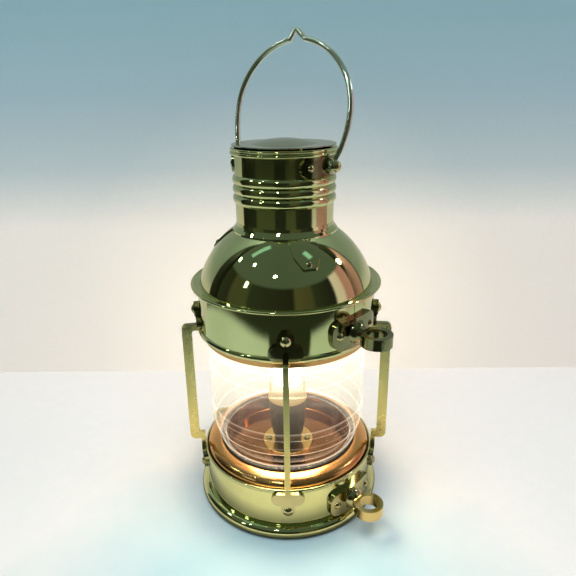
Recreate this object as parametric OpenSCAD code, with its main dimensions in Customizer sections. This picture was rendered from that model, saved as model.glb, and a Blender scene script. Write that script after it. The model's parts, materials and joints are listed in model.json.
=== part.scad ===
// Electric anchor lantern: brass base and canopy, ribbed glass globe, four cast
// guards, two pairs of side eyes for guide lines, and a wire bail handle.
// Millimetres, +Z up. The origin is the centre of the circle that the foot stands on.
// Azimuths turn from the front (-Y) towards the right (+X).

/* [Base] */
// Outer radius of the rolled foot
foot_r = 100; // [98:0.5:102]
// Radius of the foot's rolled section
foot_roll_r = 6.5; // [6:0.1:7]
// Outer radius of the base drum
drum_r = 92.3; // [92:0.1:92.6]
// Height of the top of the base rim
rim_z = 57; // [56:0.5:58]

/* [Globe] */
// Largest outer radius of the glass, without its ribs
globe_r = 82; // [80:0.5:82.5]
// Wall of the glass
globe_wall = 4; // [3:0.5:5]
// Height that each glass rib stands proud
rib_proud = 1.4; // [0.8:0.1:1.6]
// Height of the top edge of the glass
globe_top_z = 200; // [198:0.5:201]

/* [Canopy] */
// Outer radius of the skirt
skirt_r = 90; // [89.5:0.1:90.3]
// Height of the underside of the gutter ring
gutter_z = 245.4; // [245:0.1:246]
// Outer radius of the gutter ring
gutter_r = 96.5; // [95:0.5:98]
// Radius of the dome's sphere
dome_r = 90.7; // [90:0.1:91]

/* [Chimney] */
// Outer radius of the chimney tube
chimney_r = 47.6; // [47:0.1:48]
// Height of the top of the chimney tube
chimney_top_z = 372.6; // [372:0.1:373]
// Rise of the cap's crown
crown_h = 5; // [5:0.5:9]

/* [Guards and eyes] */
// Outer radius reached by the guard bars
guard_r = 109; // [107:0.5:111]
// Radial depth of a guard bar
bar_depth = 10; // [8:0.5:11]
// Width of a guard bar
bar_w = 5.4; // [4.5:0.1:6.5]
// Radius at which the eyes' bores stand
eye_axis_r = 116; // [114:0.5:118]
// Bore radius of an eye
eye_bore_r = 9.5; // [8:0.5:10.5]
// Outer radius of an eye
eye_r = 14.8; // [14:0.1:16]

/* [Handle] */
// Azimuth of the right-hand pivot
pivot_az = 56; // [50:1:70]
// Lean of the handle from upright
lean = 11.5; // [0:0.5:15]
// Radius of the handle wire
wire_r = 2.65; // [2.4:0.05:2.8]
// Height of the handle's loop above its pivots
handle_h = 118; // [114:1:120]

/* [Lamp] */
// Radius of the bulb's glass
bulb_r = 30; // [28:0.5:31]

/* [Hidden] */
$fn = 96;

BRASS = "darkkhaki";
CAST = "khaki";
COPPER = "peru";
sheet = 1.2;
fit_gap = 0.15;
guard_azimuths = [0, 81, 180, 279];
eye_azimuths = [45, 225];
tab_azimuths = [18, 138, 258];

// Base
foot_c = [foot_r - foot_roll_r, foot_roll_r - 0.3];
floor_z = 5;
deck_edge_r = drum_r - 2.4;
deck_edge_z = rim_z;
deck_seat_z = 65.5;
deck_shoulder_r = 76;
deck_inner_r = 70;
tray_floor_r = 67.4;
tray_floor_z = 50;

// Globe
gasket_h = 1.3;
globe_bottom_z = deck_seat_z + gasket_h;
globe_end_r = 73.5;
globe_bend_z = 112;
globe_upper_bend_z = 156;
rib_heights = [76, 93, 110, 158, 175];
rib_half_h = 4.2;

// Canopy
gallery_top_z = globe_top_z + 3.9;
skirt_bead_z = 199;
skirt_bead_r = 3.3;
skirt_bead_c = skirt_r - 1;
seam_az = 44.7;
gutter_bead_r = 1.4;
dome_c_z = 224;
dome_base_z = gutter_z + sheet;
dome_mouth_r = 45;

// Chimney
rib_pitch = 9;
rib_bulge = 2.2;
rib_first_z = 330.7;
rim_band_r = 51;
cap_gap = 1.6;
cap_brim_r = 49.6;
cap_brim_z = chimney_top_z + 5.4 + cap_gap;
crown_r = 33.5;
tab_t = 1.4;
tab_screw_r = 71.4;

// Guards: heights of the arms and of the features of both end plates
arm_h = 7;
arm_top_z = 203;
arm_low_z = 65.5;
rivet_z = 219.4;
screw_z = 33.8;
plate_t = 4;
plate_wing_z = 206.5;
foot_wing_z = 48;

// Eyes
eye_h = 11;
eye_top_z = 221;
eye_low_z = 32;
eye_plate_half_deg = 19.5;
eye_plate_t = 4.6;
eye_rivet_deg = 13.5;

// Handle
pivot_z = 362.4;
lug_r = 50.4;
lug_rivet_deg = 27;
eye_mid_r = 54;
handle_eye_t = 3.2;
handle_eye_r = 7;
pin_r = 2.5;
handle_face_r = eye_mid_r + handle_eye_t / 2;
pin_clearance = 0.06;
pivot_head_r = 5.2;
outer_washer_t = 1.8;
flare_z = 3;
arch_z = 46;
arch_r = 65.3;
arch_x_right = -1;
arch_x_left = -4.4;
arch_end_deg = 80;
peak_r = 4;
peak_deg = 30;

function arc(c, r, a0, a1, n) =
    [for (i = [0 : n]) let (a = a0 + (a1 - a0) * i / n) [c[0] + r * cos(a), c[1] + r * sin(a)]];
function oval(c, rx, ry, a0, a1, n) =
    [for (i = [0 : n]) let (a = a0 + (a1 - a0) * i / n) [c[0] + rx * cos(a), c[1] + ry * sin(a)]];
function back(points) = [for (i = [len(points) - 1 : -1 : 0]) points[i]];
function sphere_z(r) = dome_c_z + sqrt(dome_r * dome_r - r * r);

// Turns children so that what stands on -Y comes to an azimuth
module at_azimuth(az) {
    rotate([0, 0, az]) children();
}

// Lays a plan drawn in X (sideways) and Y (up) on a face that looks outwards at the front
module on_front(r0, r1) {
    translate([0, -r0, 0]) rotate([90, 0, 0]) linear_extrude(r1 - r0) children();
}

// A cylinder standing out radially at the front, from radius r0 to radius r1
module radial_rod(r, r0, r1, z) {
    translate([0, -r0, z]) rotate([90, 0, 0]) cylinder(r = r, h = r1 - r0);
}

module tube_between(r_in, r_out, z0, z1) {
    rotate_extrude() translate([r_in, z0]) square([r_out - r_in, z1 - z0]);
}

// A domed head on a radial shank that ends flush behind it
module dome_head(r, h, r0, z) {
    ball = (r * r + h * h) / (2 * h);
    intersection() {
        translate([0, -(r0 + h - ball), z]) sphere(r = ball);
        radial_rod(r + 1, r0, r0 + h + 1, z);
    }
}

// ---- base ----

module foot_ring() {
    color(BRASS) rotate_extrude() intersection() {
        difference() {
            translate(foot_c) circle(r = foot_roll_r);
            translate(foot_c) circle(r = foot_roll_r - sheet);
        }
        translate([drum_r, 0]) square([foot_r, 3 * foot_roll_r]);
    }
}

module base_drum() {
    color(BRASS) difference() {
        tube_between(drum_r - sheet, drum_r - 0.05, 2, rim_z - 1.6);
        at_azimuth(135) radial_rod(gland_thread_r + 0.1, drum_r - 6, drum_r + 6, gland_z);
    }
}

module base_floor() {
    color(BRASS) rotate_extrude() polygon([
        [0, floor_z], [drum_r - 8, floor_z], [drum_r - 8, floor_z - 2], [drum_r - sheet - 0.1, floor_z - 2],
        [drum_r - sheet - 0.1, floor_z + 8], [drum_r - 2 * sheet - 0.1, floor_z + 8],
        [drum_r - 2 * sheet - 0.1, floor_z + sheet], [0, floor_z + sheet]
    ]);
}

module floor_screws() {
    color("silver") for (az = [30 : 60 : 330])
        translate([78 * sin(az), -78 * cos(az), floor_z - 1.7]) cylinder(r = 3, h = 1.6);
}

module base_rim() {
    color(BRASS) rotate_extrude() difference() {
        union() {
            translate([drum_r - 1.1, rim_z - 4]) square([2.2, 3]);
            translate([drum_r, rim_z - 1.15]) circle(r = 1.15);
            translate([drum_r, rim_z - 3.1]) circle(r = 1.3);
        }
        translate([drum_r - 2, rim_z - 6]) square([2, 4.5]);
    }
}

module deck() {
    outer = concat(
        [[deck_edge_r, 44]],
        oval([deck_shoulder_r, deck_edge_z], deck_edge_r - deck_shoulder_r,
            deck_seat_z - deck_edge_z, 0, 90, 12),
        [[deck_inner_r, deck_seat_z]]
    );
    inner = concat(
        [[deck_inner_r, deck_seat_z - sheet]],
        oval([deck_shoulder_r, deck_edge_z - sheet], deck_edge_r - sheet - deck_shoulder_r,
            deck_seat_z - deck_edge_z, 90, 0, 12),
        [[deck_edge_r - sheet, 44]]
    );
    color(COPPER) rotate_extrude() polygon(concat(outer, inner));
}

module lamp_tray() {
    under = deck_seat_z - sheet - 0.05;
    flange_r = deck_shoulder_r - 1;
    lip_r = deck_inner_r - 0.3;
    color(COPPER) difference() {
        rotate_extrude() polygon([
            [0, tray_floor_z - sheet], [tray_floor_r + 0.3, tray_floor_z - sheet],
            [tray_floor_r + 1.4, tray_floor_z - 0.1], [lip_r, under - sheet], [flange_r, under - sheet],
            [flange_r, under], [lip_r - sheet, under], [tray_floor_r + 0.2, tray_floor_z + 0.5],
            [tray_floor_r - 0.5, tray_floor_z], [0, tray_floor_z]
        ]);
        cylinder(r = 5, h = 60);
        for (x = [-22, 22]) translate([x, 0, 40]) cylinder(r = 1.9, h = 20);
    }
}

// ---- globe ----

module lower_gasket() {
    color("dimgray") tube_between(deck_inner_r + 0.3, 75.4, deck_seat_z, globe_bottom_z);
}

module globe() {
    low = oval([globe_r - 16, globe_bend_z], 16, globe_bend_z - globe_bottom_z, -62, 0, 8);
    high = oval([globe_r - 16, globe_upper_bend_z], 16, globe_top_z - globe_upper_bend_z, 0, 62, 8);
    outer = concat([[globe_end_r, globe_bottom_z]], low, high, [[globe_end_r, globe_top_z]]);
    inner = [for (q = outer) [q[0] - globe_wall, q[1]]];
    color("lightcyan", 0.4) rotate_extrude() union() {
        polygon(concat(outer, back(inner)));
        for (z = rib_heights) glass_rib(z);
    }
}

// One moulded ring of the glass: a round bead sunk in the wall
module glass_rib(z) {
    ball = (rib_half_h * rib_half_h + rib_proud * rib_proud) / (2 * rib_proud);
    edge = globe_wall_r(z);
    intersection() {
        translate([edge + rib_proud - ball, z]) circle(r = ball);
        translate([edge - globe_wall / 2, z - rib_half_h]) square([globe_wall, 2 * rib_half_h]);
    }
}

function globe_wall_r(z) =
    z < globe_bend_z
    ? globe_r - 16 + 16 * sqrt(1 - pow((globe_bend_z - z) / (globe_bend_z - globe_bottom_z), 2))
    : globe_r - 16
        + 16 * sqrt(1 - pow(max(0, z - globe_upper_bend_z) / (globe_top_z - globe_upper_bend_z), 2));

module upper_gasket() {
    color("dimgray") tube_between(69, 76, globe_top_z, gallery_top_z - sheet);
}

module glass_gallery() {
    lip_r = 86.3;
    color(COPPER) rotate_extrude() polygon([
        [62, gallery_top_z - sheet], [lip_r - sheet, gallery_top_z - sheet], [lip_r - sheet, 189],
        [lip_r, 189], [lip_r, gallery_top_z - sheet], [skirt_r - sheet - 0.05, gallery_top_z - sheet],
        [skirt_r - sheet - 0.05, gallery_top_z + 6], [skirt_r - 2 * sheet - 0.05, gallery_top_z + 6],
        [skirt_r - 2 * sheet - 0.05, gallery_top_z], [62, gallery_top_z]
    ]);
}

// ---- canopy ----

module skirt() {
    color(BRASS) difference() {
        rotate_extrude() union() {
            translate([skirt_r - sheet, skirt_bead_z]) square([sheet, gutter_z - skirt_bead_z - 0.05]);
            intersection() {
                translate([skirt_bead_c, skirt_bead_z]) circle(r = skirt_bead_r);
                translate([skirt_r - sheet, skirt_bead_z - 5]) square([10, 10]);
            }
        }
        at_azimuth(seam_az) translate([-0.4, -skirt_r - 1, 202]) cube([0.8, 1.5, 60]);
    }
}

module gutter_ring() {
    color(BRASS) rotate_extrude() union() {
        polygon([
            [84, gutter_z], [90.5, gutter_z], [gutter_r - gutter_bead_r, gutter_z + 0.4],
            [gutter_r - gutter_bead_r, gutter_z + 0.4 + sheet], [90.5, gutter_z + sheet],
            [84, gutter_z + sheet]
        ]);
        translate([gutter_r - gutter_bead_r, gutter_z + 1]) circle(r = gutter_bead_r);
    }
}

module dome() {
    color(BRASS) difference() {
        translate([0, 0, dome_c_z]) sphere(r = dome_r);
        translate([0, 0, dome_c_z]) sphere(r = dome_r - sheet);
        translate([0, 0, dome_c_z - 100]) cylinder(r = 120, h = 100 + dome_base_z - dome_c_z + 0.05);
        translate([0, 0, 240]) cylinder(r = dome_mouth_r, h = 100);
    }
}

module flue_cone() {
    color("silver") rotate_extrude() polygon([
        [66, gallery_top_z + 0.1], [74, gallery_top_z + 0.1], [74, gallery_top_z + 0.9],
        [66.8, gallery_top_z + 0.9], [44, 296], [43.2, 296]
    ]);
}

// ---- chimney ----

module chimney() {
    r_in = chimney_r - sheet;
    flare_r = 51.6;
    flare_z = sphere_z(flare_r) + 0.3;
    color(BRASS) rotate_extrude() union() {
        polygon([
            [r_in, sphere_z(r_in) + 0.3], [flare_r, flare_z], [flare_r, flare_z + 1.6],
            [49.6, 303], [48.2, 305.4], [chimney_r, 308.5], [chimney_r, chimney_top_z], [r_in, chimney_top_z]
        ]);
        for (i = [0 : 2]) intersection() {
            ball = (rib_pitch * rib_pitch / 4 + rib_bulge * rib_bulge) / (2 * rib_bulge);
            translate([chimney_r + rib_bulge - ball, rib_first_z + i * rib_pitch]) circle(r = ball);
            translate([r_in, rib_first_z - rib_pitch]) square([20, 4 * rib_pitch]);
        }
    }
}

module chimney_rim() {
    r_in = chimney_r - sheet;
    color(BRASS) rotate_extrude() difference() {
        union() {
            translate([r_in, chimney_top_z]) square([rim_band_r - 1.5 - r_in, 5.4]);
            translate([chimney_r + 0.1, chimney_top_z - 1.2]) square([rim_band_r - 1.4 - chimney_r, 4]);
            translate([rim_band_r - 1.5, chimney_top_z + 0.5]) circle(r = 1.7);
            translate([rim_band_r - 1.6, chimney_top_z + 4]) circle(r = 1.4);
        }
        translate([0, chimney_top_z - 3]) square([chimney_r + 0.1, 3]);
    }
}

module cap_spacers() {
    color(BRASS) for (az = tab_azimuths) at_azimuth(az)
        translate([0, -47.8, chimney_top_z + 5.4]) cylinder(r = 1.5, h = cap_gap);
}

module chimney_cap() {
    ball = (crown_r * crown_r + crown_h * crown_h) / (2 * crown_h);
    color(BRASS) rotate_extrude() intersection() {
        union() {
            difference() {
                translate([0, cap_brim_z + 0.6 + crown_h - ball]) circle(r = ball);
                translate([0, cap_brim_z + 0.6 + crown_h - ball]) circle(r = ball - 1);
                translate([-200, cap_brim_z - 400]) square([400, 400]);
            }
            translate([crown_r - 6, cap_brim_z]) square([cap_brim_r - crown_r + 5.5, 1]);
            translate([cap_brim_r - 0.5, cap_brim_z + 0.5]) circle(r = 0.5);
        }
        translate([0, cap_brim_z]) square([cap_brim_r + 1, crown_h + 2]);
    }
}

// Plan of a clip: straight sides and an end with four rounded corners
module tab_outline() {
    right = concat([[13, -40]], arc([9, -63.5], 4, 0, -34, 3), arc([4.6, -70], 4, -34, -90, 4));
    polygon(concat(right, back([for (q = right) [-q[0], q[1]]])));
}

// A thin clip that grips the chimney's flared foot and lies on the dome
module chimney_tab(az) {
    color(BRASS) difference() {
        intersection() {
            difference() {
                translate([0, 0, dome_c_z]) sphere(r = dome_r + tab_t);
                translate([0, 0, dome_c_z]) sphere(r = dome_r + fit_gap);
            }
            at_azimuth(az) translate([0, 0, 260]) linear_extrude(60) tab_outline();
        }
        translate([0, 0, 250]) cylinder(r = 51.8, h = 80);
        at_azimuth(az) tab_screw_frame() translate([0, 0, -10]) cylinder(r = 1.7, h = 30);
    }
}

// Stands children on the outside of a clip, square to the dome
module tab_screw_frame() {
    tilt = asin(tab_screw_r / (dome_r + tab_t));
    translate([0, 0, dome_c_z]) rotate([tilt, 0, 0]) translate([0, 0, dome_r + tab_t]) children();
}

module tab_screws() {
    color(BRASS) for (az = tab_azimuths) at_azimuth(az) tab_screw_frame() difference() {
        union() {
            intersection() {
                translate([0, 0, -2]) sphere(r = 3.6);
                translate([0, 0, 0.05]) cylinder(r = 5, h = 5);
            }
            translate([0, 0, 0.1 - tab_t]) cylinder(r = 1.6, h = tab_t + 0.2);
        }
        translate([-4, -0.35, 0.9]) cube([8, 0.7, 3]);
    }
}

// ---- guards ----

// Outline of the upper end plate: a round eye over two wings
module upper_plate_outline() {
    translate([0, rivet_z]) circle(r = 8);
    translate([-8, plate_wing_z]) square([16, rivet_z - plate_wing_z]);
    for (s = [-1, 1]) translate([s * 8.6, plate_wing_z]) circle(r = 7.6);
    translate([-8.6, plate_wing_z - 7.6]) square([17.2, 12.2]);
}

// Outline of the lower end plate: a narrow neck, two wings and a tongue for the screw
module lower_plate_outline() {
    translate([-bar_w / 2, foot_wing_z]) square([bar_w, arm_low_z + arm_h - foot_wing_z]);
    for (s = [-1, 1]) translate([s * 9, foot_wing_z]) circle(r = 7.5);
    translate([-9, foot_wing_z - 7.5]) square([18, 15]);
    translate([-7.2, screw_z]) square([14.4, foot_wing_z - screw_z]);
    translate([0, screw_z]) circle(r = 7.2);
}

// Side view of the bar with its two arms: X is the radius, Y the height
module bar_outline() {
    root = skirt_r + plate_t - 1;
    outer_corner = 5;
    inner_corner = 2.5;
    inner_r = guard_r - bar_depth;
    top = arm_top_z;
    low = arm_low_z;
    polygon(concat(
        [[root, low]],
        arc([guard_r - outer_corner - 2, low + outer_corner + 2], outer_corner + 2, -90, 0, 6),
        arc([guard_r - outer_corner, top - outer_corner], outer_corner, 0, 90, 6),
        [[root, top], [root, top - arm_h]],
        arc([inner_r - inner_corner, top - arm_h - inner_corner], inner_corner, 90, 0, 4),
        arc([inner_r - inner_corner, low + arm_h + inner_corner], inner_corner, 0, -90, 4),
        [[root, low + arm_h]]
    ));
}

module guard(az) {
    out = skirt_r + fit_gap;
    low_out = drum_r + fit_gap;
    low_step = drum_r + 1.5;
    color(CAST) at_azimuth(az) difference() {
        union() {
            intersection() {
                on_front(60, 120) upper_plate_outline();
                tube_between(out, out + plate_t, 190, 235);
            }
            difference() {
                radial_rod(7.8, out + plate_t - 1, out + plate_t + 0.8, rivet_z);
                radial_rod(6.6, out + plate_t - 0.1, out + plate_t + 3, rivet_z);
            }
            intersection() {
                on_front(60, 120) lower_plate_outline();
                union() {
                    tube_between(low_out, low_out + plate_t, 20, rim_z - 5);
                    tube_between(low_step, low_step + plate_t, rim_z - 7, 90);
                }
            }
            rotate([0, 0, -90]) rotate([90, 0, 0]) translate([0, 0, -bar_w / 2])
                linear_extrude(bar_w) bar_outline();
        }
        rotate_extrude() translate([skirt_bead_c, skirt_bead_z]) circle(r = skirt_bead_r + 0.1);
        radial_rod(2.6, 60, 120, rivet_z);
        radial_rod(2.1, 60, 98, screw_z);
    }
}

module guard_front() { guard(guard_azimuths[0]); }
module guard_right() { guard(guard_azimuths[1]); }
module guard_back() { guard(guard_azimuths[2]); }
module guard_left() { guard(guard_azimuths[3]); }

module guard_rivets() {
    face = skirt_r + fit_gap + plate_t;
    color(CAST) for (az = guard_azimuths) at_azimuth(az) union() {
        dome_head(5.6, 3.8, face + 0.05, rivet_z);
        radial_rod(2.5, skirt_r + 0.05, face + 0.2, rivet_z);
    }
}

module guard_screws() {
    face = drum_r + fit_gap + plate_t;
    color(CAST) for (az = guard_azimuths) at_azimuth(az) difference() {
        union() {
            dome_head(5.1, 2.8, face + 0.05, screw_z);
            radial_rod(2, drum_r + 0.05, face + 0.4, screw_z);
        }
        translate([-6, -face - 8, screw_z - 0.6]) cube([12, 7, 1.2]);
    }
}

// ---- side eyes ----

// The plate's outline: a bar with large round corners
module eye_plate_outline(wall_r, z) {
    half_l = wall_r * sin(eye_plate_half_deg);
    half_h = 13.5;
    corner = 10.5;
    for (sx = [-1, 1], sy = [-1, 1])
        translate([sx * (half_l - corner), z + sy * (half_h - corner)]) circle(r = corner);
    translate([-half_l, z - half_h + corner]) square([2 * half_l, 2 * (half_h - corner)]);
    translate([-half_l + corner, z - half_h]) square([2 * (half_l - corner), 2 * half_h]);
}

module eye_bracket(az, wall_r, top_z, plate_z) {
    ring_z = top_z - eye_h / 2;
    color(CAST) at_azimuth(az) difference() {
        union() {
            intersection() {
                on_front(60, 120) eye_plate_outline(wall_r, plate_z);
                tube_between(wall_r + fit_gap, wall_r + fit_gap + eye_plate_t, plate_z - 20, plate_z + 20);
            }
            difference() {
                union() {
                    translate([0, -wall_r, ring_z]) sphere(r = 12.5);
                    translate([0, -wall_r, ring_z]) rotate([90, 0, 0])
                        cylinder(r1 = 11, r2 = 6.6, h = eye_axis_r - 12 - wall_r);
                }
                translate([0, 0, ring_z - 20]) cylinder(r = wall_r + fit_gap, h = 40);
            }
            translate([0, -eye_axis_r, top_z - eye_h]) cylinder(r = eye_r, h = eye_h);
        }
        translate([0, -eye_axis_r, top_z - eye_h - 5]) cylinder(r = eye_bore_r, h = eye_h + 10);
        for (s = [-1, 1]) rotate([0, 0, s * eye_rivet_deg]) radial_rod(2.1, 60, wall_r + 10, plate_z);
    }
}

module eye_upper_right() { eye_bracket(eye_azimuths[0], skirt_r, eye_top_z, eye_top_z - 4); }
module eye_lower_right() { eye_bracket(eye_azimuths[0], drum_r, eye_low_z, eye_low_z - 3); }
module eye_upper_left() { eye_bracket(eye_azimuths[1], skirt_r, eye_top_z, eye_top_z - 4); }
module eye_lower_left() { eye_bracket(eye_azimuths[1], drum_r, eye_low_z, eye_low_z - 3); }

module eye_rivets() {
    levels = [[skirt_r, eye_top_z - 4], [drum_r, eye_low_z - 3]];
    color(CAST) for (az = eye_azimuths, s = [-1, 1], level = levels)
        at_azimuth(az + s * eye_rivet_deg) union() {
            dome_head(4, 2.6, level[0] + fit_gap + eye_plate_t + 0.05, level[1]);
            radial_rod(2, level[0] + 0.05, level[0] + fit_gap + eye_plate_t + 0.3, level[1]);
        }
}

// ---- handle ----

module handle_lug(az) {
    half_l = 31;
    end_r = 9;
    color(CAST) at_azimuth(az) difference() {
        intersection() {
            on_front(30, 60) union() {
                for (s = [-1, 1]) translate([s * (half_l - end_r), pivot_z]) circle(r = end_r);
                translate([-(half_l - end_r), pivot_z - end_r]) square([2 * (half_l - end_r), 2 * end_r]);
            }
            union() {
                tube_between(chimney_r + fit_gap, lug_r - 0.4, pivot_z - 12, pivot_z + 12);
                radial_rod(7.5, 40, lug_r, pivot_z);
            }
        }
        cylinder(r = chimney_r + fit_gap, h = 400);
        radial_rod(pin_r + 0.05, 40, 60, pivot_z);
        for (s = [-1, 1]) rotate([0, 0, s * lug_rivet_deg]) radial_rod(1.6, 40, 60, pivot_z);
    }
}

module handle_lug_right() { handle_lug(pivot_az); }
module handle_lug_left() { handle_lug(pivot_az + 180); }

module lug_rivets() {
    pivots = [pivot_az, pivot_az + 180];
    color(CAST) for (az = pivots, s = [-1, 1]) at_azimuth(az + s * lug_rivet_deg) union() {
        dome_head(3.4, 2.2, lug_r - 0.35, pivot_z);
        radial_rod(1.5, chimney_r + 0.05, lug_r - 0.2, pivot_z);
    }
}

module pivot_washers() {
    color(CAST) for (az = [pivot_az, pivot_az + 180]) at_azimuth(az) difference() {
        union() {
            radial_rod(5.6, lug_r + 0.05, eye_mid_r - handle_eye_t / 2 - 0.15, pivot_z);
            radial_rod(5.2, handle_face_r + 0.1, handle_face_r + outer_washer_t, pivot_z);
        }
        radial_rod(pin_r + 0.05, 40, 70, pivot_z);
    }
}

module pivot_rivets() {
    head = handle_face_r + outer_washer_t + 0.05;
    color(CAST) for (az = [pivot_az, pivot_az + 180]) at_azimuth(az) union() {
        dome_head(pivot_head_r, 3.6, head, pivot_z);
        radial_rod(pin_r, chimney_r + 0.05, head + 0.2, pivot_z);
    }
}

// One side of the loop in its own plane: X along the pivots, Z up from them.
// It flares out to its widest point, arches over, and ends in a steep run at the crimp
module handle_side(arch_x) {
    wide = arch_x + arch_r;
    flare_deg = 2 * atan((wide - eye_mid_r) / (arch_z - flare_z));
    flare_r = (arch_z - flare_z) / sin(flare_deg);
    top = [arch_x + arch_r * cos(arch_end_deg), arch_z + arch_r * sin(arch_end_deg)];
    peak = [peak_r * cos(peak_deg), handle_h - peak_r + peak_r * sin(peak_deg)];
    difference() {
        union() {
            translate([eye_mid_r - handle_eye_t / 2, 0, 0]) rotate([0, 90, 0])
                cylinder(r = handle_eye_r, h = handle_eye_t);
            translate([wide - flare_r, 0, arch_z]) rotate([90, 0, 0]) rotate([0, 0, -flare_deg])
                rotate_extrude(angle = flare_deg) translate([flare_r, 0]) circle(r = wire_r);
        }
        translate([eye_mid_r - 10, 0, 0]) rotate([0, 90, 0]) cylinder(r = pin_r + pin_clearance, h = 20);
        translate([0, -10, -10]) cube([eye_mid_r - handle_eye_t / 2, 20, 16]);
        translate([handle_face_r, 0, 0]) rotate([0, 90, 0]) cylinder(r = pivot_head_r + 0.4, h = 20);
    }
    translate([arch_x, 0, arch_z]) rotate([90, 0, 0])
        rotate_extrude(angle = arch_end_deg) translate([arch_r, 0]) circle(r = wire_r);
    wire(top, peak);
    for (q = [[wide, arch_z], top, peak]) translate([q[0], 0, q[1]]) sphere(r = wire_r + 0.04);
}

// A straight run of the handle wire between two points of its plane
module wire(a, b) {
    translate([a[0], 0, a[1]]) rotate([0, atan2(b[0] - a[0], b[1] - a[1]), 0])
        cylinder(r = wire_r, h = norm(b - a));
}

module handle() {
    color(BRASS) translate([0, 0, pivot_z]) rotate([0, 0, pivot_az - 90]) rotate([-lean, 0, 0]) union() {
        handle_side(arch_x_right);
        mirror([1, 0, 0]) handle_side(arch_x_left);
        translate([0, 0, handle_h - peak_r]) rotate([90, 0, 0]) rotate([0, 0, peak_deg])
            rotate_extrude(angle = 180 - 2 * peak_deg) translate([peak_r, 0]) circle(r = wire_r);
    }
}

// ---- lamp ----

holder_z = tray_floor_z + 2.5;
shoulder_z = 107;
lamp_lift = shoulder_z - 95;

module holder_base() {
    color(BRASS) difference() {
        rotate_extrude() polygon([
            [5, tray_floor_z], [29, tray_floor_z], [29, tray_floor_z + 1.4], [28, holder_z], [5, holder_z]
        ]);
        for (x = [-22, 22]) translate([x, 0, 40]) cylinder(r = 2.1, h = 20);
    }
}

module holder_screws() {
    color(BRASS) for (x = [-22, 22]) translate([x, 0, holder_z]) difference() {
        union() {
            translate([0, 0, 0.05]) cylinder(r = 3.4, h = 1.6);
            translate([0, 0, -5]) cylinder(r = 1.8, h = 5.1);
        }
        translate([-5, -0.4, 1]) cube([10, 0.8, 2]);
    }
}

module holder_body() {
    color([0.13, 0.13, 0.13]) rotate_extrude() polygon([
        [5, holder_z], [15, holder_z], [15.6, 61], [17, 63], [19.6, 78], [20.8, 98], [20.8, shoulder_z],
        [17.2, shoulder_z], [17.2, shoulder_z + 3], [15, shoulder_z + 3],
        [15, shoulder_z - 17], [5, shoulder_z - 17]
    ]);
}

module holder_insert() {
    color("white") translate([0, 0, lamp_lift]) tube_between(13.9, 16.6, 98.1, 111);
}

module holder_collar() {
    color(BRASS) translate([0, 0, lamp_lift]) rotate_extrude() polygon([
        [17.4, 95.1], [21.2, 95.1], [21.2, 99.5], [20, 101], [20, 115], [19.3, 116.2], [16.8, 116.2],
        [16.8, 98.5], [17.4, 98.2]
    ]);
}

module centre_contact() {
    color(BRASS) translate([0, 0, lamp_lift]) union() {
        translate([0, 0, 78.1]) cylinder(r = 3.4, h = 1);
        translate([0, 0, 79]) cylinder(r = 1.6, h = 3.2);
    }
}

module bulb_cap() {
    color("silver") translate([0, 0, lamp_lift]) rotate_extrude() union() {
        polygon([
            [0, 82.4], [4, 82.4], [6, 84], [12.6, 86.5], [12.6, 110], [13.4, 112], [12.6, 112],
            [11.8, 110], [11.8, 88], [0, 86]
        ]);
        for (i = [0 : 3]) translate([12.5, 90 + 3.6 * i]) circle(r = 0.75);
    }
}

module bulb_glass() {
    neck_z = 112.1;
    ball_z = 160;
    neck = oval([bulb_r, neck_z + 2], bulb_r - 13.6, 34, 180, 122, 8);
    ball = arc([0, ball_z], bulb_r, -28, 90, 14);
    outer = concat([[13.6, neck_z]], neck, ball);
    shell = concat([[0, ball_z + bulb_r - 1]], arc([0, ball_z], bulb_r - 1, 84, -28, 14),
        [for (q = back(neck)) [q[0] - 1, q[1]]], [[12.6, neck_z]]);
    color("white", 0.6) translate([0, 0, lamp_lift]) rotate_extrude() polygon(concat(outer, shell));
}

module filament() {
    color("orange") translate([0, 0, lamp_lift]) union() {
        translate([0, 0, 100]) cylinder(r = 4, h = 38);
        for (i = [0 : 3]) rotate([0, 0, 90 * i + 45]) translate([9, 0, 134]) rotate([0, -8, 0])
            cylinder(r = 0.9, h = 36);
        translate([0, 0, 134]) tube_between(3.5, 10.5, 0, 1);
        translate([0, 0, 138]) cylinder(r = 0.5, h = 32);
        translate([0, 0, 169.5]) cylinder(r = 5.5, h = 0.8);
    }
}

// ---- wiring ----

gland_z = 30;
gland_thread_r = 6;
lead_r = 3.2;
block_top_z = floor_z + sheet + 12;

module cable_gland() {
    face = drum_r + 0.05;
    color(BRASS) at_azimuth(135) difference() {
        union() {
            translate([0, -face, gland_z]) rotate([90, 0, 0]) cylinder(r = 10.4, h = 5, $fn = 6);
            radial_rod(8.2, face, face + 9, gland_z);
            radial_rod(gland_thread_r, drum_r - 9, face + 1, gland_z);
        }
        radial_rod(3.4, drum_r - 12, drum_r + 20, gland_z);
    }
}

module gland_nut() {
    color(BRASS) at_azimuth(135) difference() {
        translate([0, -(drum_r - 6), gland_z]) rotate([90, 0, 0]) cylinder(r = 9.2, h = 3, $fn = 6);
        radial_rod(gland_thread_r + 0.05, drum_r - 12, drum_r, gland_z);
    }
}

module terminal_block() {
    color("ivory") at_azimuth(135) translate([-9, -20, floor_z + sheet + 0.05]) difference() {
        cube([18, 40, 12]);
        for (y = [6, 15.5, 25]) translate([9, y, 6]) cylinder(r = 2, h = 10);
    }
}

module inner_lead() {
    bend = gland_z - block_top_z;
    drop_r = 17;
    color("dimgray") at_azimuth(135) union() {
        radial_rod(lead_r, drop_r + bend, drum_r - 12, gland_z);
        translate([0, -(drop_r + bend), block_top_z]) rotate([90, 0, -90])
            rotate_extrude(angle = 90) translate([bend, 0]) circle(r = lead_r);
    }
}

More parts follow.
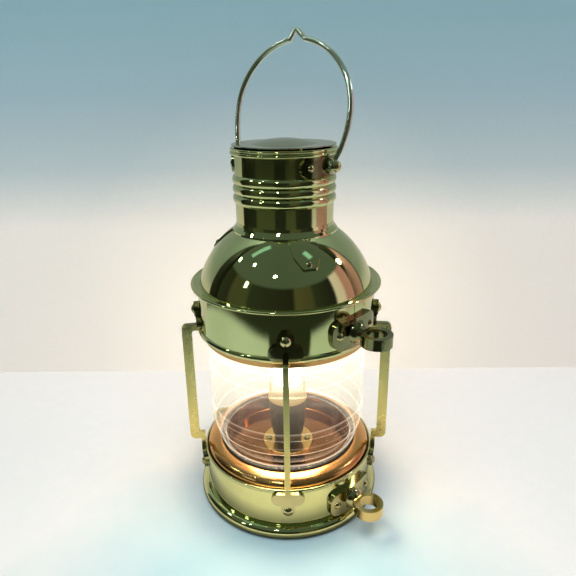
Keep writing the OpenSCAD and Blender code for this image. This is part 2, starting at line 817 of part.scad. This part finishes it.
module holder_wires() {
    color("saddlebrown") for (x = [-2.2, 2.2]) translate([x, 0, block_top_z + 0.1])
        cylinder(r = 1.3, h = 58 - block_top_z);
}

module chimney_tab_front() { chimney_tab(tab_azimuths[0]); }
module chimney_tab_back() { chimney_tab(tab_azimuths[1]); }
module chimney_tab_left() { chimney_tab(tab_azimuths[2]); }

foot_ring();
base_drum();
base_floor();
floor_screws();
base_rim();
deck();
lamp_tray();
lower_gasket();
globe();
upper_gasket();
glass_gallery();
skirt();
gutter_ring();
dome();
flue_cone();
chimney();
chimney_rim();
cap_spacers();
chimney_cap();
chimney_tab_front();
chimney_tab_back();
chimney_tab_left();
tab_screws();
guard_front();
guard_right();
guard_back();
guard_left();
guard_rivets();
guard_screws();
eye_upper_right();
eye_lower_right();
eye_upper_left();
eye_lower_left();
eye_rivets();
handle_lug_right();
handle_lug_left();
lug_rivets();
pivot_washers();
pivot_rivets();
handle();
holder_base();
holder_screws();
holder_body();
holder_insert();
holder_collar();
centre_contact();
bulb_cap();
bulb_glass();
filament();
cable_gland();
gland_nut();
terminal_block();
inner_lead();
holder_wires();
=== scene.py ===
"""Looks and stage of the ship lantern, in metres, in the CAD's frame.

Every CAD node keeps its own mesh and gets a procedural material; no piece is added or replaced.
Polished brass shows what stands round it. So the floor, the wall and the world give reflection
rays the tones of the photo's dim room, while the camera sees a plain pale stage.
"""
import bpy
import json
import math
from mathutils import Matrix, Vector


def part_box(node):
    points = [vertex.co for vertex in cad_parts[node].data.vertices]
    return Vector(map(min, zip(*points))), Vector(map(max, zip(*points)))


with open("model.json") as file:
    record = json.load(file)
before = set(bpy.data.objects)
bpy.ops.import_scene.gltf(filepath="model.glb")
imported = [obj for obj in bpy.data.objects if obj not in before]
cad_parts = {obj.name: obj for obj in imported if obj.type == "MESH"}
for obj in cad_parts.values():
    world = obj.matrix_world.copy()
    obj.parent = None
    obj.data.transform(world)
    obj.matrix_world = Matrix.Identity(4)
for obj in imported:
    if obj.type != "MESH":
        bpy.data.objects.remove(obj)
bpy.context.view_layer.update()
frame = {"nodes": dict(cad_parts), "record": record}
scene = bpy.context.scene
nodes = frame["nodes"]

# ------------------------------------------------------------------ camera

CAMERA_PLACE = Vector((0.0061, -0.5236, 0.4278))
CAMERA_ANGLES = (20.179, -0.603, -0.828)    # degrees: pitch down, yaw and roll
CAMERA_LENS_MM, CAMERA_SENSOR_MM = 33.79, 36
CAMERA_SHIFT_X = 0.0026


def add_camera():
    pitch, yaw, roll = (math.radians(angle) for angle in CAMERA_ANGLES)
    level = math.cos(pitch)
    ahead = Vector((math.sin(yaw) * level, math.cos(yaw) * level, -math.sin(pitch)))
    right = Vector((math.cos(yaw), -math.sin(yaw), 0))
    up = right.cross(ahead)
    side = math.cos(roll) * right + math.sin(roll) * up
    top = -math.sin(roll) * right + math.cos(roll) * up
    data = bpy.data.cameras.new("photo_camera")
    data.sensor_width = CAMERA_SENSOR_MM
    data.lens = CAMERA_LENS_MM
    data.shift_x = CAMERA_SHIFT_X
    data.clip_start = 0.02
    cam = bpy.data.objects.new("photo_camera", data)
    scene.collection.objects.link(cam)
    turned = Matrix((side, top, -ahead)).transposed().to_4x4()
    cam.matrix_world = Matrix.Translation(CAMERA_PLACE) @ turned
    scene.camera = cam


add_camera()

# ------------------------------------------------------------------ node trees

BLACK, WHITE = (0, 0, 0), (1, 1, 1)
MIX_FACTOR, MIX_A, MIX_B, MIX_RESULT = 0, 6, 7, 2    # the Mix node's colour sockets


def rgba(color):
    return (*color, 1.0)


class Tree:
    """The node tree of a material or world, with short calls that add and join nodes."""

    def __init__(self, owner, output):
        owner.use_nodes = True
        self.owner = owner
        self.nt = owner.node_tree
        self.nt.nodes.clear()
        self.out = self.nt.nodes.new(output)

    def node(self, kind, inputs=None, **props):
        """Add a node. Each input is a socket to join or a value; a colour gets its alpha here."""
        n = self.nt.nodes.new(kind)
        for key, value in props.items():
            setattr(n, key, value)
        for key, value in (inputs or {}).items():
            socket = n.inputs[key]
            if isinstance(value, bpy.types.NodeSocket):
                self.nt.links.new(value, socket)
            else:
                socket.default_value = rgba(value) if socket.type == "RGBA" else value
        return n

    def axes(self, space="Object"):
        """X, Y and Z of the point that is shaded, or of the ray's direction in a world."""
        at = self.node("ShaderNodeTexCoord").outputs[space]
        return self.node("ShaderNodeSeparateXYZ", {0: at}).outputs

    def ray(self, kind):
        """1 for a ray of this kind, such as Glossy or Camera, and 0 for the others."""
        return self.node("ShaderNodeLightPath").outputs["Is %s Ray" % kind]

    def noise(self, scale, detail=3.0, rough=0.5, distortion=0.0, stretch=(1, 1, 1)):
        """Noise of 0 to 1. A stretch above 1 makes its grain shorter along that axis."""
        at = self.node("ShaderNodeTexCoord").outputs["Object"]
        at = self.node("ShaderNodeMapping", {"Vector": at, "Scale": stretch}).outputs["Vector"]
        return self.node("ShaderNodeTexNoise", {
            "Vector": at, "Scale": scale, "Detail": detail, "Roughness": rough,
            "Distortion": distortion,
        }).outputs["Fac"]

    def ramp(self, fac, stops):
        """A colour that follows fac through stops of (position, colour)."""
        n = self.node("ShaderNodeValToRGB", {"Fac": fac})
        elements = n.color_ramp.elements
        while len(elements) > 1:
            elements.remove(elements[-1])
        elements[0].position = stops[0][0]
        elements[0].color = rgba(stops[0][1])
        for position, color in stops[1:]:
            elements.new(position).color = rgba(color)
        return n.outputs["Color"]

    def mix(self, fac, a, b):
        """Colour a where fac is 0, and colour b where it is 1."""
        inputs = {MIX_FACTOR: fac, MIX_A: a, MIX_B: b}
        return self.node("ShaderNodeMix", inputs, data_type="RGBA").outputs[MIX_RESULT]

    def calc(self, operation, a, b=0.0):
        return self.node("ShaderNodeMath", {0: a, 1: b}, operation=operation).outputs[0]

    def times(self, a, b):
        return self.calc("MULTIPLY", a, b)

    def hypot(self, a, b):
        squares = self.calc("POWER", a, 2), self.calc("POWER", b, 2)
        return self.calc("SQRT", self.calc("ADD", *squares))

    def remap(self, value, start, end, low=0.0, high=1.0):
        """low where value is at start or before it, high from end on, and even in between."""
        return self.node("ShaderNodeMapRange", {
            "Value": value, "From Min": start, "From Max": end, "To Min": low, "To Max": high,
        }).outputs["Result"]

    def band(self, value, rise, fall):
        """1 from rise to fall, which are the pairs of values that its two soft edges cross."""
        return self.calc("MINIMUM", self.remap(value, *rise), self.remap(value, *reversed(fall)))

    def bump(self, height, strength, distance, below=None):
        """Normals for a height, on top of those of the bump below."""
        inputs = {"Height": height, "Strength": strength, "Distance": distance}
        if below is not None:
            inputs["Normal"] = below
        return self.node("ShaderNodeBump", inputs).outputs["Normal"]

    def blend(self, fac, a, b):
        """Shader a where fac is 0, and shader b where it is 1."""
        return self.node("ShaderNodeMixShader", {0: fac, 1: a.outputs[0], 2: b.outputs[0]})

    def principled(self, inputs):
        return self.node("ShaderNodeBsdfPrincipled", inputs)

    def finish(self, shader):
        self.nt.links.new(shader.outputs[0], self.out.inputs["Surface"])
        return self.owner


materials = {}    # every finish by its name


def material_tree(name):
    materials[name] = bpy.data.materials.new(name)
    return Tree(materials[name], "ShaderNodeOutputMaterial")


# ------------------------------------------------------------------ metals


def polished_sheet(name, base, deep, rough, wave):
    """Spun or rolled sheet metal, hand polished: faint waves, fine rub marks, uneven lustre.

    Its colour drifts between base and deep, rough is its lowest and highest roughness, and wave
    is the strength of its waves.
    """
    t = material_tree(name)
    tone = t.noise(scale=14, detail=4, rough=0.6)
    smear = t.noise(scale=38, detail=5, rough=0.62, distortion=0.6, stretch=(1, 1, 3))
    rub = t.noise(scale=900, detail=2, stretch=(1, 1, 14))
    lustre = t.calc("ADD", smear, t.times(rub, 0.25))
    waves = t.bump(t.noise(scale=9, detail=2, rough=0.4), strength=wave, distance=0.004)
    return t.finish(t.principled({
        "Base Color": t.mix(t.ramp(tone, [(0.35, BLACK), (0.75, WHITE)]), base, deep),
        "Metallic": 1.0,
        "Roughness": t.remap(lustre, 0.42, 0.95, *rough),
        "Normal": t.bump(rub, strength=0.03, distance=0.0002, below=waves),
    }))


def cast_metal(name, base, deep, dark, rough, pit, tones=None):
    """Sand-cast brass, filed and buffed: soft lumps, fine pits, and brown left in the low places.

    pit is the strength of the pits, dark is the colour in them, and tones is a function that
    changes the colour and roughness from place to place.
    """
    t = material_tree(name)
    lumps = t.noise(scale=55, detail=2, rough=0.4)
    grain = t.noise(scale=260, detail=4, rough=0.6)
    pits = t.noise(scale=700, detail=3, rough=0.6)
    color = t.mix(t.ramp(lumps, [(0.3, BLACK), (0.7, WHITE)]), base, deep)
    roughness = t.remap(grain, 0.3, 0.75, *rough)
    if tones:
        color, roughness = tones(t, color, roughness)
    low_places = t.ramp(pits, [(0.24, WHITE), (0.33, BLACK)])
    lumpy = t.bump(lumps, strength=0.3, distance=0.0012)
    return t.finish(t.principled({
        "Base Color": t.mix(t.times(low_places, 0.3), color, dark),
        "Metallic": 1.0,
        "Roughness": roughness,
        "Normal": t.bump(pits, strength=pit, distance=0.0001, below=lumpy),
    }))


# Heights and radii on the guards and eyes: each pair is where a soft change starts and ends.
BAR_FOOT_Z, BAR_HEAD_Z = (0.058, 0.064), (0.2015, 0.2035)
BAR_PAINTED_SHADE_Z = (0.09, 0.19)
HEAD_PLATE_Z = (0.2015, 0.204)
LOW_EYE_TOP_Z = (0.062, 0.058)
EYE_RING_RADIUS = (0.101, 0.106)

BAR_GOLD, BAR_STREAK, BAR_PAINTED_SHADE = (0.79, 0.65, 0.26), (0.632, 0.52, 0.208), (0.42, 0.43, 0.21)
HEAD_PAINTED_SHADE = (0.10, 0.10, 0.055)
LOW_RING_GOLD = (0.68, 0.51, 0.22)


def guard_tones(t, color, roughness):
    """The long bars are satin gold with painted shade that makes them darker and greener upwards,
    the parts above them are darkened with painted shade, and the rings of the low eyes are a warmer
    gold."""
    x, y, z = t.axes()
    on_bar = t.band(z, BAR_FOOT_Z, BAR_HEAD_Z)
    streak = t.noise(scale=90, detail=4, rough=0.6, stretch=(1, 1, 0.25))
    gold = t.mix(streak, BAR_GOLD, BAR_STREAK)
    # Painted shade: the bars' gold turns darker and greener upwards.
    satin = t.mix(t.remap(z, *BAR_PAINTED_SHADE_Z, 0.0, 0.62), gold, BAR_PAINTED_SHADE)
    color = t.mix(on_bar, color, satin)
    roughness = t.calc("ADD", roughness, t.times(on_bar, t.remap(streak, 0.3, 0.7, 0.14, 0.24)))
    # Painted shade: the parts above the bars are darkened.
    color = t.mix(t.remap(z, *HEAD_PLATE_Z, 0.0, 0.60), color, HEAD_PAINTED_SHADE)
    # The rings of the low eyes turn a warmer gold.
    on_ring = t.remap(t.hypot(x, y), *EYE_RING_RADIUS, 0.0, 0.85)
    low_ring = t.calc("MINIMUM", on_ring, t.remap(z, *LOW_EYE_TOP_Z, 0.0, 0.85))
    return t.mix(low_ring, color, LOW_RING_GOLD), roughness


polished_sheet("polished_brass", (0.66, 0.66, 0.34), (0.57, 0.56, 0.27),
               rough=(0.012, 0.05), wave=0.2)
polished_sheet("plain_brass", (0.52, 0.42, 0.22), (0.36, 0.28, 0.12),
               rough=(0.25, 0.45), wave=0.4)
polished_sheet("cap_brass", (0.62, 0.56, 0.43), (0.50, 0.45, 0.34),
               rough=(0.02, 0.08), wave=0.2)
# The holder's foot plate is a brighter, warmer brass than the rest: painted lamp glow.
polished_sheet("lamp_lit_plate", (0.85, 0.58, 0.20), (0.70, 0.44, 0.13),
               rough=(0.16, 0.26), wave=0.3)
polished_sheet("copper_sheet", (0.78, 0.42, 0.17), (0.62, 0.29, 0.10),
               rough=(0.16, 0.30), wave=0.3)
polished_sheet("tray_copper", (0.36, 0.155, 0.055), (0.25, 0.095, 0.03),
               rough=(0.10, 0.22), wave=0.3)
cast_metal("cast_brass", (0.52, 0.48, 0.26), (0.42, 0.38, 0.19), (0.12, 0.09, 0.04),
           rough=(0.06, 0.18), pit=0.12, tones=guard_tones)
cast_metal("brass_fixings", (0.60, 0.55, 0.31), (0.48, 0.42, 0.21), (0.08, 0.06, 0.03),
           rough=(0.08, 0.2), pit=0.08)
cast_metal("handle_brass", (0.92, 0.96, 0.86), (0.76, 0.82, 0.72), (0.08, 0.07, 0.05),
           rough=(0.1, 0.22), pit=0.08)

# ------------------------------------------------------------------ plain parts, glass, lit parts


def plain(name, color, rough, metallic=0.0, mottle=0.35, specular=0.5):
    """A fine-grained finish; mottle is how much darker than color its darkest grains are."""
    t = material_tree(name)
    grain = t.noise(scale=300, detail=4, rough=0.6)
    return t.finish(t.principled({
        "Base Color": t.mix(grain, color, tuple(c * (1 - mottle) for c in color)),
        "Metallic": metallic,
        "Specular IOR Level": specular,
        "Roughness": t.remap(grain, 0.3, 0.7, rough * 0.8, rough * 1.25),
        "Normal": t.bump(grain, strength=0.15, distance=0.0003),
    }))


plain("sheet_steel", (0.62, 0.62, 0.60), 0.28, metallic=1.0)
plain("seal_rubber", (0.012, 0.009, 0.006), 0.4, specular=0.12)
plain("holder_plastic", (0.006, 0.004, 0.002), 0.42, specular=0.2)
plain("ceramic", (0.80, 0.77, 0.68), 0.25, mottle=0.1)
plain("wire_sleeve", (0.28, 0.12, 0.06), 0.5)

GLASS_BENT_SHARE = 0.07        # how much of the light the wall bends
PAINTED_GLOW_Z = (0.070, 0.20)         # the painted lamp glow grows over these heights
RIB_SLOPE = (0.30, 0.75)       # how far up or down a normal points where the painted rib highlight shows


def clear_glass(name):
    """Blown glass: mostly clear, part bent by the wall, and pale where the wall turns edge on, a
    painted sheen.

    The lamp's glow in it is painted on as emission, stronger towards the bulb and along each rib,
    where it is a painted highlight. Light for shadows and for what is around the globe passes
    straight through.
    """
    t = material_tree(name)
    streak = t.noise(scale=160, detail=2, stretch=(1, 1, 0.15))
    swell = t.calc("ADD", t.noise(scale=30), t.times(streak, 0.2))
    uneven = t.bump(swell, strength=0.08, distance=0.001)
    clear = t.node("ShaderNodeBsdfTransparent", {"Color": (0.995, 0.985, 0.96)})
    bent = t.principled({
        "Base Color": (0.985, 0.99, 0.985), "Roughness": 0.02, "IOR": 1.22,
        "Transmission Weight": 1.0, "Normal": uneven,
    })
    body = t.blend(GLASS_BENT_SHARE, clear, bent)
    edge = t.node("ShaderNodeLayerWeight", {"Blend": 0.35, "Normal": uneven}).outputs["Facing"]
    # Painted sheen: this pale diffuse where the wall turns edge on stands in for the glass's
    # reflections.
    pale = t.node("ShaderNodeBsdfDiffuse", {"Color": (0.93, 0.90, 0.86)})
    body = t.blend(t.times(t.calc("POWER", edge, 4.5), 0.6), body, pale)

    lit = t.remap(t.axes()["Z"], *PAINTED_GLOW_Z, 0.0, 0.48)
    normal = t.node("ShaderNodeNewGeometry").outputs["Normal"]
    slope = t.node("ShaderNodeSeparateXYZ", {"Vector": normal}).outputs["Z"]
    rib_highlight = t.remap(t.calc("ABSOLUTE", slope), *RIB_SLOPE, 0.0, 0.48)
    # Painted glow: emission for the lamp's light in the glass, with painted highlights along each
    # rib.
    painted_glow = t.node("ShaderNodeEmission", {
        "Color": (1.0, 0.85, 0.67), "Strength": t.calc("ADD", t.times(lit, lit), rib_highlight),
    })
    body = t.node("ShaderNodeAddShader", {0: body.outputs[0], 1: painted_glow.outputs[0]})
    passing = t.calc("MAXIMUM", t.ray("Shadow"), t.ray("Diffuse"))
    return t.finish(t.blend(passing, body, clear))


def glow(name, color, strength):
    """A lit part: it shines in its own colour, a little unevenly."""
    t = material_tree(name)
    uneven = t.noise(scale=90, detail=2)
    return t.finish(t.principled({
        "Base Color": color,
        "Emission Color": color,
        "Emission Strength": t.remap(uneven, 0.2, 0.8, strength * 0.85, strength * 1.15),
        "Roughness": 0.4,
    }))


def lit_collar(name, low, high):
    """The holder's collar right under the bulb: dark metal with the lamp's glow painted on it as
    emission.

    The glow runs from low at the collar's lower edge to high at its upper edge.
    """
    t = material_tree(name)
    (_, _, bottom), (_, _, top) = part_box("holder_collar")
    grain = t.noise(scale=220, stretch=(0.3, 0.3, 3.0))
    shine = t.mix(t.remap(t.axes()["Z"], bottom, top), low, high)
    return t.finish(t.principled({
        "Base Color": (0.006, 0.005, 0.002),
        "Metallic": 1.0,
        "Roughness": 0.4,
        "Emission Color": t.mix(t.remap(grain, 0.35, 0.7, 0.0, 0.5), shine, low),
        "Emission Strength": 0.9,
        "Normal": t.bump(grain, strength=0.3, distance=0.0003),
    }))


clear_glass("globe_glass")
glow("filament_wire", (1.0, 0.80, 0.50), strength=60.0)
glow("bulb_glass", (1.0, 0.88, 0.66), strength=7.0)
lit_collar("collar_brass", low=(0.52, 0.33, 0.10), high=(1.0, 0.86, 0.52))

# These nodes have a finish of their own; every other node has the one named after its slot.
OWN_FINISH = {
    "holder_collar": "collar_brass",
    "holder_base": "lamp_lit_plate",
    "chimney_cap": "cap_brass",
    "lamp_tray": "tray_copper",
}
finish_of = {part["node"]: part["material_slot"] for part in frame["record"]["subparts"]}
finish_of.update(OWN_FINISH)
for name, obj in nodes.items():
    obj.data.materials.clear()
    obj.data.materials.append(materials[finish_of[name]])
    for polygon in obj.data.polygons:
        polygon.use_smooth = True

# ------------------------------------------------------------------ floor and wall

WALL_Y = 0.256
WALL_TOP = 2.2
STAGE_HALF_WIDTH = 3

# Ovals on the floor: centre x and y, then radius along x and y.
FOOT_OVAL = (0.0, 0.0, 0.1, 0.1)
BLUE_SHADE_OVAL = (-0.01, -0.22, 0.19, 0.20)
TABLE_OVAL = (0.0, 0.0, 0.66, 0.53)
DARK_FRONT_OVAL = (0.05, -0.72, 0.30, 0.36)    # a dark gap in the table's reflection
FAR_OVAL = (0.0, 0.0, 1.2, 1.2)
FLOOR_GLOW_OVAL = (0.0, 0.0, 1.0, 1.0)

# Bearings round the lantern in degrees, 0 in front and positive to the right, as the pairs
# that soft edges cross.
SCREEN_BEARING, POSTER_BEARING = (63, 66), (74, 78)
LEFT_PANEL = ((-68, -65), (-23, -20))
RIGHT_PANEL = ((2, 4), (24, 26))

FLOOR_WARM, FLOOR_GREY, FLOOR_BLUE_SHADE = (0.70, 0.655, 0.65), (0.67, 0.64, 0.64), (0.31, 0.46, 0.53)
WALL_HEIGHTS = (0.10, 0.55)    # the wall's tones, white turning to a painted blue-grey shade, run from the first height to the second
WALL_SHADE_TONES = (
    (0.0, (1.0, 0.93, 0.90)), (0.3, (1.0, 0.93, 0.90)), (0.50, (0.55, 0.64, 0.69)),
    (0.72, (0.40, 0.54, 0.63)), (1.0, (0.27, 0.45, 0.52)),
)
WALL_SPECK = (0.2, 0.3, 0.4)
LAMP_Z = 0.12                  # height of the middle of the lamp's painted glow on the wall

# What only the reflections see.
TABLE_NEAR, TABLE_FAR = (0.56, 0.53, 0.43), (0.44, 0.54, 0.46)
ROOM_DARK, ROOM_PANEL = (0.017, 0.021, 0.012), (0.075, 0.085, 0.040)
SCREEN_PALE, POSTER_PINK = (0.85, 0.78, 0.80), (0.66, 0.34, 0.34)
WALL_DULL, WALL_DARK, WALL_PINK = (0.34, 0.36, 0.28), (0.03, 0.035, 0.02), (0.80, 0.42, 0.42)


def pane(name, corners, material):
    mesh = bpy.data.meshes.new(name)
    mesh.from_pydata(corners, [], [tuple(range(len(corners)))])
    mesh.materials.append(material)
    obj = bpy.data.objects.new(name, mesh)
    scene.collection.objects.link(obj)


def floor_material():
    """A pale table top with a patch of painted bluish shade in front of the lantern.

    In reflections it is a warmer table that ends all round, with the dim room beyond its edge.
    """
    t = material_tree("pale_floor")
    x, y, _ = t.axes()
    glossy = t.ray("Glossy")

    def away(oval):
        """Distance from the oval's centre, 1 on the oval itself."""
        centre_x, centre_y, radius_x, radius_y = oval
        return t.hypot(t.times(t.calc("SUBTRACT", x, centre_x), 1 / radius_x),
                       t.times(t.calc("SUBTRACT", y, centre_y), 1 / radius_y))

    def edge(angles):
        return tuple(math.radians(angle) for angle in angles)

    grain = t.noise(scale=60, detail=5, rough=0.6)
    color = t.mix(t.remap(grain, 0.3, 0.7), FLOOR_WARM, FLOOR_GREY)
    # Painted shade: a ragged bluish patch in front of the lantern, mostly left out of reflections.
    ragged = t.calc("ADD", away(BLUE_SHADE_OVAL), t.times(t.noise(scale=9), 0.5))
    not_glossy = t.calc("SUBTRACT", 1.0, t.times(glossy, 0.8))
    blue_shade = t.times(t.remap(ragged, 0.9, 1.7, 0.92, 0.0), not_glossy)
    color = t.mix(blue_shade, color, FLOOR_BLUE_SHADE)

    from_foot = away(FOOT_OVAL)
    tone = t.mix(t.remap(from_foot, 1.8, 3.2), TABLE_NEAR, TABLE_FAR)
    color = t.mix(t.times(glossy, 0.7), color, tone)

    # Where reflections see the dim room instead of the table: past its edge, in a dark gap in
    # front, and close round the foot as a painted contact shadow.
    past_table = t.remap(away(TABLE_OVAL), 0.98, 1.03)
    dark_front = t.remap(away(DARK_FRONT_OVAL), 1.0, 0.95)
    foot_shadow = t.remap(from_foot, 1.02, 1.28, 0.85, 0.0)
    dark_in_reflection = t.calc("MAXIMUM", t.calc("MAXIMUM", past_table, dark_front), foot_shadow)

    bearing = t.calc("ARCTAN2", x, t.times(y, -1.0))
    left, right = (t.band(bearing, edge(rise), edge(fall))
                   for rise, fall in (LEFT_PANEL, RIGHT_PANEL))
    panels = t.times(t.remap(away(FAR_OVAL), 0.98, 1.02), t.calc("MAXIMUM", left, right))
    screen = t.mix(t.remap(bearing, *edge(POSTER_BEARING)), SCREEN_PALE, POSTER_PINK)
    on_screen = t.times(t.remap(bearing, *edge(SCREEN_BEARING)), past_table)
    beyond = t.mix(on_screen, t.mix(panels, ROOM_DARK, ROOM_PANEL), screen)
    return t.finish(t.principled({
        "Base Color": t.mix(t.times(dark_in_reflection, glossy), color, beyond),
        "Roughness": 0.5,
        "Normal": t.bump(grain, strength=0.05, distance=0.001),
        # Painted light: to the camera the floor glows brighter the farther it lies from the
        # lantern.
        "Emission Color": (0.90, 0.98, 1.0),
        "Emission Strength": t.times(t.remap(away(FLOOR_GLOW_OVAL), 0.8, 2.4, 0.0, 0.5), t.ray("Camera")),
    }))


def wall_material():
    """A pale wall, white behind the lantern and blue-grey above it with painted shade, and with the
    lamp's glow painted on it as camera-only emission.

    In reflections it ends at both sides, with a pink poster past its right end. From behind it
    is clear, so that the lantern can be seen from there.
    """
    t = material_tree("pale_wall")
    x, _, z = t.axes()
    glossy = t.ray("Glossy")
    speck = t.noise(scale=330, detail=4, rough=0.6)
    color = t.ramp(t.remap(z, *WALL_HEIGHTS), WALL_SHADE_TONES)
    color = t.mix(t.remap(speck, 0.3, 0.7, 0.0, 0.06), color, WALL_SPECK)
    color = t.mix(t.times(glossy, t.remap(z, 0.18, 0.36, 0.1, 0.6)), color, WALL_DULL)

    past_end = t.remap(t.calc("ABSOLUTE", t.calc("ADD", x, 0.07)), 0.70, 0.74)
    on_poster = t.times(t.remap(x, 0.70, 0.72), t.remap(z, 1.10, 1.0))
    beyond = t.mix(on_poster, WALL_DARK, WALL_PINK)

    # Painted light: the lamp's glow on the wall, shown to the camera only, round the lamp and a
    # little stronger low down.
    from_lamp = t.hypot(x, t.calc("SUBTRACT", z, LAMP_Z))
    halo = t.remap(from_lamp, 0.06, 0.32, 0.20, 0.0)
    shine = t.calc("ADD", halo, t.remap(z, 0.42, 0.25, 0.0, 0.06))
    front = t.principled({
        "Base Color": t.mix(t.times(past_end, glossy), color, beyond),
        "Roughness": 0.8,
        "Normal": t.bump(speck, strength=0.08, distance=0.001),
        "Emission Color": (1.0, 0.85, 0.66),
        "Emission Strength": t.times(shine, t.ray("Camera")),
    })
    behind = t.node("ShaderNodeNewGeometry").outputs["Backfacing"]
    return t.finish(t.blend(behind, front, t.node("ShaderNodeBsdfTransparent")))


pane("floor", [(x * STAGE_HALF_WIDTH, y * STAGE_HALF_WIDTH, 0)
               for x, y in ((-1, -1), (1, -1), (1, 1), (-1, 1))], floor_material())
pane("wall", [(x * STAGE_HALF_WIDTH, WALL_Y, z)
              for x, z in ((-1, 0), (1, 0), (1, WALL_TOP), (-1, WALL_TOP))], wall_material())

# ------------------------------------------------------------------ lights

COOL_WHITE, GREEN_WHITE, CYAN = (0.97, 1.0, 1.0), (0.78, 1.0, 0.95), (0.45, 1.0, 0.95)
WARM_GLOW = (1.0, 0.90, 0.62)
CEILING_Z = 1.5


def area(name, place, target, size, power, color):
    data = bpy.data.lights.new(name, "AREA")
    data.shape = "RECTANGLE"
    data.size, data.size_y = size
    data.energy = power
    data.color = color
    obj = bpy.data.objects.new(name, data)
    scene.collection.objects.link(obj)
    obj.location = place
    aim = Vector(target) - Vector(place)
    obj.rotation_euler = aim.to_track_quat("-Z", "Y").to_euler()
    return obj


# The studio light lights everything but shows in no reflection; the small lights are for those.
studio_light = area("top_soft", (0, -0.1, 2.0), (0, -0.1, 0), (2.0, 2.0), 70, COOL_WHITE)
studio_light.visible_glossy = False
area("left_soft", (-1.1, -0.75, 0.95), (0, 0, 0.2), (0.07, 0.16), 0.7, (0.80, 1.0, 0.92))
area("right_soft", (1.2, 0.17, 1.04), (0, 0, 0.25), (0.10, 0.12), 1.0, (0.90, 1.0, 0.98))
for number, (x, y, size, power, color) in enumerate((
    (-1.38, 0.05, (0.08, 0.08), 1.2, GREEN_WHITE),
    (-0.36, -1.16, (0.07, 0.07), 1.6, GREEN_WHITE),
    (-0.58, -0.10, (0.12, 0.50), 0.12, CYAN),
    (-0.90, -0.50, (0.05, 0.05), 0.5, GREEN_WHITE),
    (0.55, -0.30, (0.14, 0.24), 0.07, CYAN),
)):
    area("ceiling_%d" % number, (x, y, CEILING_Z), (0, 0, 0.3), size, power, color)

# Two panels inside the globe put the lamp's glow on the tray and the deck. They show in
# reflections, but not to the camera or through the glass.
for name, place, target, size, power in (
    ("glow_top", (0, -0.015, 0.186), (0, -0.015, 0), (0.12, 0.12), 0.36),
    ("glow_front", (0, -0.036, 0.145), (0, -0.10, 0.09), (0.09, 0.10), 0.26),
):
    panel = area(name, place, target, size, power, WARM_GLOW)
    panel.visible_camera = False
    panel.visible_transmission = False


def add_bulb_light():
    data = bpy.data.lights.new("bulb_light", "POINT")
    data.energy = 8.0
    data.color = (1.0, 0.84, 0.60)
    data.shadow_soft_size = 0.02
    obj = bpy.data.objects.new("bulb_light", data)
    obj.location = (0, 0, 0.170)
    scene.collection.objects.link(obj)


add_bulb_light()

# ------------------------------------------------------------------ world

SKY = (0.55, 0.66, 0.70)
DIM = (0.032, 0.044, 0.026)
BACK_WALL = (0.40, 0.42, 0.38)
CEILING_BACK, CEILING_FRONT = (0.16, 0.19, 0.15), (0.09, 0.13, 0.10)
CEILING_SIDE = (0.10, 0.14, 0.11)
CEILING_EDGE = (0.52, 0.56)    # sine of the angle above level where the walls meet the ceiling

# Colours round the room by bearing in degrees, 0 in front and positive to the right.
WALLS = (
    (-180, BACK_WALL), (-112, (0.30, 0.33, 0.28)),
    (-108, DIM), (-80, (0.03, 0.035, 0.02)),
    (-76, (0.075, 0.084, 0.042)), (-52, (0.07, 0.085, 0.04)),
    (-48, DIM), (10, (0.022, 0.024, 0.014)),
    (13, (0.10, 0.10, 0.05)), (34, (0.08, 0.08, 0.04)),
    (38, DIM), (66, (0.02, 0.02, 0.015)),
    (69, (0.85, 0.75, 0.78)), (80, (0.80, 0.68, 0.70)),
    (84, (0.55, 0.27, 0.28)), (104, (0.62, 0.36, 0.36)),
    (107, (0.10, 0.10, 0.06)), (112, (0.06, 0.07, 0.05)),
    (116, (0.35, 0.36, 0.30)), (180, BACK_WALL),
)
CEILING = (
    (-180, CEILING_BACK), (-90, CEILING_SIDE), (0, CEILING_FRONT),
    (90, CEILING_SIDE), (180, CEILING_BACK),
)


def add_world():
    """A pale sky for the camera, and for all other rays a dim room with a pale screen in it."""
    world = bpy.data.worlds.new("studio")
    scene.world = world
    t = Tree(world, "ShaderNodeOutputWorld")
    x, y, z = t.axes("Generated")
    bearing = t.remap(t.calc("ARCTAN2", x, t.times(y, -1.0)), -math.pi, math.pi)

    def around(colors):
        return t.ramp(bearing, [((angle + 180) / 360, color) for angle, color in colors])

    room = t.mix(t.remap(z, *CEILING_EDGE), around(WALLS), around(CEILING))
    t.finish(t.blend(t.ray("Camera"), t.node("ShaderNodeBackground", {"Color": room}),
                     t.node("ShaderNodeBackground", {"Color": SKY})))


add_world()
scene.view_settings.view_transform = "Standard"
